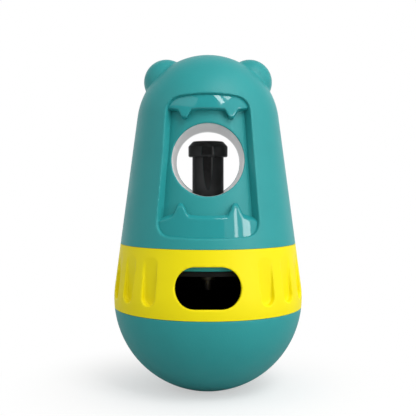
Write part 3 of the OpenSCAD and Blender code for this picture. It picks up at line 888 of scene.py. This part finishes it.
# %% Give every piece its finish
finishes = {
    "teal": teal_nylon, "gloss_teal": teal_gloss, "yellow": yellow_tpe, "black": black_satin,
    "gloss_black": black_gloss, "white": white_satin, "steel": zinc_steel, "iron": cast_iron}
kept_nodes = {
    "counterweight": "iron", "cup_sleeve": "black", "treat_dish": "black", "bulkhead": "black",
    "dish_screws": "steel", "bulkhead_screws": "steel"}


def dress(piece, slot):
    """Gives a piece the finish of its slot."""
    piece.data.materials.clear()
    piece.data.materials.append(finishes[slot])


for name, slot in kept_nodes.items():
    dress(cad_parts[name], slot)
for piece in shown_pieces():
    if "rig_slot" in piece:
        dress(piece, piece["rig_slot"])

# %% [markdown]
# ## The studio
# The toy stands on a white table before a white wall, and the room in front of it is dim, so that
# its gloss stays deep. The camera looks almost level from the front with a short telephoto lens.
# Its distance comes first, because that alone decides how the toy tapers in the picture.

# %% Camera
camera_data = bpy.data.cameras.new("camera")
camera = bpy.data.objects.new("camera", camera_data)
bpy.context.scene.collection.objects.link(camera)
bpy.context.scene.camera = camera
image_px = 416
focal_px = 746
camera_far = 373
camera_z = 101.5
horizon_px = 23.7
sensor = 36
camera_data.sensor_width = sensor
camera_data.lens = sensor * focal_px / image_px
camera.location = Vector((0, -camera_far, camera_z)) * mm
camera.rotation_euler = (math.radians(90) - math.atan(horizon_px / focal_px), 0, 0)
print(f"camera {camera_far} mm away, lens {camera_data.lens:.1f} mm")

# %% [markdown]
# ### The table
# A white table under lamps that suit the toy would come out grey. More light would bleach the
# toy, so the table glows for rays that come straight from the camera, and less of it close to
# the toy, where its shadow stays. Rays off gloss see the glow only behind the toy.


# %% Rays that see the white studio
def studio_rays(tree):
    """Sockets that are one for rays to the camera, and for rays off gloss or through glass."""
    rays = add(tree, "ShaderNodeLightPath").outputs
    mirrored = add(tree, "ShaderNodeMath", operation="MAXIMUM",
                   links={0: rays["Is Glossy Ray"], 1: rays["Is Transmission Ray"]})
    return rays["Is Camera Ray"], mirrored.outputs[0]


# %% Table
table_size = 6  # metres
bpy.ops.object.select_all(action="DESELECT")
bpy.ops.mesh.primitive_plane_add(size=table_size)
table = bpy.context.object
table.name = "table"
print("table:", table_size, "m wide")

# %% White of the table
shadow_from, shadow_to, wall_far = 0.03, 0.11, 0.4  # metres from the toy's axis
shadow_glow = 0.48
white, tree, place = start("white_table")
camera_ray, mirrored_ray = studio_rays(tree)
# Other rays see a grey table, so that it throws less light up on to the toy.
paint = add(tree, "ShaderNodeMix", links={"Factor": camera_ray}, data_type="RGBA",
            inputs={colour_a: linear("b3b3b3"), colour_b: linear("fafafa")})
matte = add(tree, "ShaderNodeBsdfDiffuse", links={"Color": paint.outputs[colour_out]})
glow = add(tree, "ShaderNodeEmission", {"Color": (1, 1, 1, 1), "Strength": 1})
far = add(tree, "ShaderNodeVectorMath", links={0: place}, operation="LENGTH")
fade = add(tree, "ShaderNodeMapRange",
           {"From Min": shadow_from, "From Max": shadow_to, "To Min": shadow_glow, "To Max": 1},
           {"Value": far.outputs["Value"]}, interpolation_type="SMOOTHSTEP")
depth = add(tree, "ShaderNodeSeparateXYZ", links={0: place})
behind = add(tree, "ShaderNodeMapRange", {"From Min": 0, "From Max": wall_far},
             {"Value": depth.outputs["Y"]})
straight = add(tree, "ShaderNodeMath", links={0: camera_ray, 1: fade.outputs["Result"]},
               operation="MULTIPLY")
mirrored = add(tree, "ShaderNodeMath", links={0: mirrored_ray, 1: behind.outputs["Result"]},
               operation="MULTIPLY")
seen = add(tree, "ShaderNodeMath", links={0: straight.outputs[0], 1: mirrored.outputs[0]},
           operation="MAXIMUM")
both = add(tree, "ShaderNodeMixShader",
           links={0: seen.outputs[0], 1: matte.outputs[0], 2: glow.outputs[0]})
add(tree, "ShaderNodeOutputMaterial", links={"Surface": both.outputs[0]})
table.data.materials.append(white)
print("glow of the table under the toy:", shadow_glow)

# %% [markdown]
# ### The softboxes
# Two upright boxes on the right and two tilted ones above them are small and bright: they make
# the sharp reflections in the visors. Large weak panels on the right, above, on the left and at
# both sides model the body, and two faint ones light the back. Spots would be simpler, but they
# have no shape to be mirrored.


# %% Softboxes
def softbox(name, azimuth, elevation, wide_deg, tall_deg, radiance, roll=0):
    """An area lamp a metre from the toy, its size and level given as the toy sees them."""
    lamp = bpy.data.lights.new(name, "AREA")
    lamp.shape = "RECTANGLE"
    lamp.size = 2 * math.tan(math.radians(wide_deg / 2))
    lamp.size_y = 2 * math.tan(math.radians(tall_deg / 2))
    lamp.energy = radiance * math.pi * lamp.size * lamp.size_y
    box = bpy.data.objects.new(name, lamp)
    bpy.context.scene.collection.objects.link(box)
    a, e = math.radians(azimuth), math.radians(elevation)
    out = Vector((math.sin(a) * math.cos(e), -math.cos(a) * math.cos(e), math.sin(e)))
    box.location = aim + out
    facing = out.to_track_quat("Z", "Y") @ Quaternion((0, 0, 1), math.radians(roll))
    box.rotation_euler = facing.to_euler()
    print(f"{name}: {lamp.size:.2f} by {lamp.size_y:.2f} m, {lamp.energy:.1f} W")


aim = Vector((0, 0, 0.09))  # metres
softbox("narrow_box", 37.8, 9, 4.4, 18, 7)
softbox("wide_box", 53, 9, 11, 18, 7.3)
softbox("streak_box", 20.2, 46, 6.5, 24, 10, roll=28)
softbox("corner_box", 38.6, 51.2, 14, 20, 6.5, roll=30)
softbox("right_panel", 52, 20, 60, 50, 0.66)
softbox("top_box", 62, 60, 46, 26, 1)
softbox("left_box", -49, 39, 44, 17, 0.8)
softbox("right_side_box", 92, 20, 20, 40, 0.65)
softbox("left_side_box", -88, 18, 34, 40, 0.45)
softbox("rear_left_box", -142, 15, 40, 70, 0.12)
softbox("rear_right_box", 142, 15, 36, 70, 0.12)

# %% [markdown]
# ### The white room
# The world is the room: white to the camera, a weak even fill for the toy's own light, and for
# rays off gloss a white wall behind the toy that goes over to a dim room in front. A real
# backdrop could stand there, but it would block the lamps when the view goes round.

# %% White room
fill = 0.55
dim = 0.2
wall_from, wall_to = 0.35, 0.95  # share of a direction that points to the wall
world = bpy.data.worlds.new("white_room")
bpy.context.scene.world = world
world.use_nodes = True
tree = world.node_tree
tree.nodes.clear()
camera_ray, mirrored_ray = studio_rays(tree)
towards = add(tree, "ShaderNodeTexCoord").outputs["Generated"]
depth = add(tree, "ShaderNodeSeparateXYZ", links={0: towards})
wall = add(tree, "ShaderNodeMapRange",
           {"From Min": wall_from, "From Max": wall_to, "To Min": dim, "To Max": 1},
           {"Value": depth.outputs["Y"]}, interpolation_type="SMOOTHSTEP")
mirrored = add(tree, "ShaderNodeMapRange", {"To Min": fill},
               {"Value": mirrored_ray, "To Max": wall.outputs["Result"]})
level = add(tree, "ShaderNodeMapRange", {"To Max": 1},
            {"Value": camera_ray, "To Min": mirrored.outputs["Result"]})
sky = add(tree, "ShaderNodeBackground", {"Color": (1, 1, 1, 1)},
          {"Strength": level.outputs["Result"]})
add(tree, "ShaderNodeOutputWorld", links={"Surface": sky.outputs[0]})
bpy.context.scene.view_settings.view_transform = "Standard"
print("room: fill", fill, "and front", dim)
